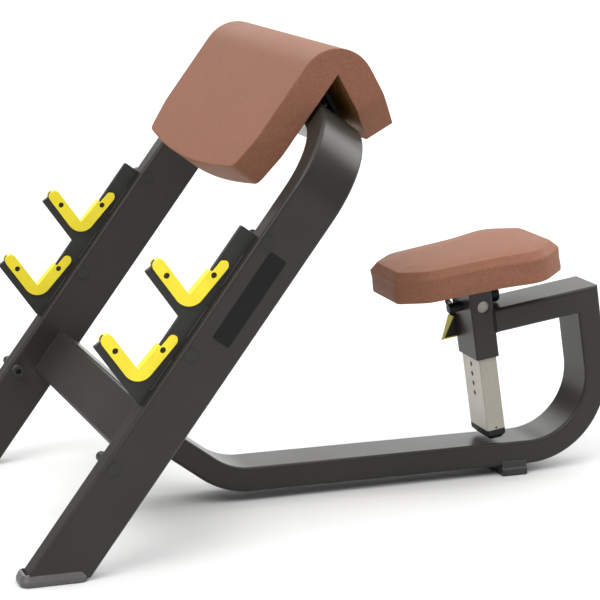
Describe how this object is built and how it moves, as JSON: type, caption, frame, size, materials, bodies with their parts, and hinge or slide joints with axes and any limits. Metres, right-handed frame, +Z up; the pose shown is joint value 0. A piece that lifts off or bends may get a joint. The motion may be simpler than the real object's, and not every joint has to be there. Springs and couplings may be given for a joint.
{
  "type": "preacher curl bench",
  "caption": "Preacher curl bench: raked hoop frame with bar cradles, a sloping padded arm rest, and a height-adjustable padded seat on a leaned sliding post.",
  "frame": {"origin": "on the floor in the bench's mid plane, at the centre of the rear foot's sole", "axes": "+X from the rack and pad side towards the seat, +Z up, +Y to the right hand of a user who sits facing the pad"},
  "size_m": [1.3316, 0.887, 0.9269],
  "materials": {
    "frame_paint": "satin charcoal powder coat",
    "rack_paint": "fine textured black powder coat",
    "guard_yellow": "moulded plastic",
    "lever_yellow": "painted folded sheet",
    "shoe_grey": "moulded plastic",
    "rubber_black": "moulded rubber",
    "plastic_black": "moulded plastic",
    "post_silver": "satin",
    "bolt_steel": "zinc plated",
    "board": "stained plywood",
    "upholstery": "brown artificial leather"
  },
  "bodies": {
    "frame": {"main_hoop": "frame_paint", "left_foot_shoe": "shoe_grey", "right_foot_shoe": "shoe_grey", "crossbeam": "frame_paint", "seat_beam": "frame_paint", "rear_foot": "rubber_black", "seat_arm": "frame_paint", "seat_sleeve": "frame_paint", "upper_bush": "plastic_black", "lower_bush": "plastic_black", "left_rack_plate": "rack_paint", "right_rack_plate": "rack_paint", "rack_welds": "rack_paint", "left_upper_guard": "guard_yellow", "left_lower_guard": "guard_yellow", "right_upper_guard": "guard_yellow", "right_lower_guard": "guard_yellow", "guard_screws": "bolt_steel", "leg_bolts": "frame_paint", "leg_knob_nuts": "plastic_black", "left_pad_strap": "rack_paint", "right_pad_strap": "rack_paint", "strap_bolts": "bolt_steel", "arm_board": "board", "chest_board": "board", "pad_cushion": "upholstery", "pin_barrel": "plastic_black", "barrel_cap": "plastic_black", "pin_spring": "bolt_steel", "lever_axle": "bolt_steel", "clamp_nut": "frame_paint"},
    "seat": {"seat_post": "post_silver", "post_cap": "plastic_black", "cap_screws": "bolt_steel", "seat_plate": "rack_paint", "seat_bolts": "bolt_steel", "seat_board": "board", "seat_cushion": "upholstery"},
    "lever": {"lever_plate": "rack_paint", "lever_grip": "lever_yellow", "drive_rod": "bolt_steel"},
    "pin": {"lock_pin": "bolt_steel"},
    "knob": {"clamp_knob": "plastic_black", "clamp_stud": "bolt_steel"}
  },
  "joints": [
    {"name": "seat_slide", "type": "slide", "parent": "frame", "child": "seat", "axis": [-0.1478, 0, 0.989], "range_m": [0, 0.189]},
    {"name": "lever_squeeze", "type": "hinge", "parent": "frame", "child": "lever", "pos_m": [-0.08567, 0, 0.31787], "axis": [0, -1, 0], "range_deg": [-6.6, 4.5], "stiffness_Nm_per_rad": 3},
    {"name": "pin_slide", "type": "slide", "parent": "frame", "child": "pin", "axis": [-0.989, 0, -0.1478], "range_m": [-0.0044, 0.003]},
    {"name": "knob_turn", "type": "hinge", "parent": "frame", "child": "knob", "pos_m": [-0.03768, 0, 0.37559], "axis": [0.989, 0, 0.1478], "range_deg": [-360, 0]}
  ],
  "couplings": [
    {"joint": "pin_slide", "follows": "lever_squeeze", "m_per_rad": 0.038}
  ]
}
